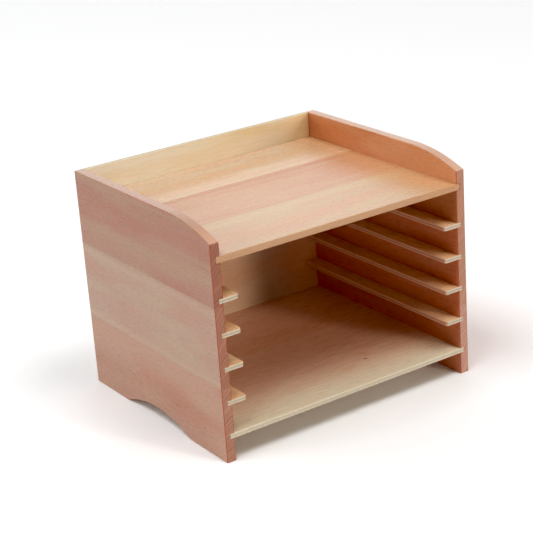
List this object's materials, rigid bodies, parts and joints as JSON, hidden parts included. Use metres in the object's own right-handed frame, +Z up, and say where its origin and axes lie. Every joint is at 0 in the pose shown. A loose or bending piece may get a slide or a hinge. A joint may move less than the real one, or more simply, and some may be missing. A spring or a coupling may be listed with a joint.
{
  "type": "desktop file sorter",
  "caption": "Open-fronted wooden desktop file sorter: curved sides on arched feet, a tray top, and runners let into the sides that carry sheets and folders lying flat.",
  "frame": {"origin": "middle of the footprint, on the surface the feet stand on", "axes": "+X across the width to the right side, seen from the open front; the open front looks along -Y; +Z up"},
  "size_m": [0.35, 0.29, 0.272],
  "materials": {
    "side_beech": "steamed beech, planed and sanded, thin clear lacquer, satin",
    "tray_beech": "beech, planed and sanded, thin clear lacquer, satin",
    "panel_plywood": "pale rotary-cut plywood, sanded, thin clear lacquer",
    "runner_plywood": "pale three-ply, sanded faces, sawn and sanded edges",
    "pin_steel": "bright drawn steel wire"
  },
  "bodies": {
    "root": {"left_lower_stave": "side_beech", "left_middle_stave": "side_beech", "left_upper_stave": "side_beech", "right_lower_stave": "side_beech", "right_middle_stave": "side_beech", "right_upper_stave": "side_beech", "tray_front_stave": "tray_beech", "tray_middle_stave": "tray_beech", "tray_rear_stave": "tray_beech", "bottom_panel": "panel_plywood", "back_panel": "panel_plywood", "left_runner_1": "runner_plywood", "left_runner_2": "runner_plywood", "left_runner_3": "runner_plywood", "left_runner_4": "runner_plywood", "right_runner_1": "runner_plywood", "right_runner_2": "runner_plywood", "right_runner_3": "runner_plywood", "right_runner_4": "runner_plywood", "back_pins": "pin_steel"}
  },
  "joints": []
}
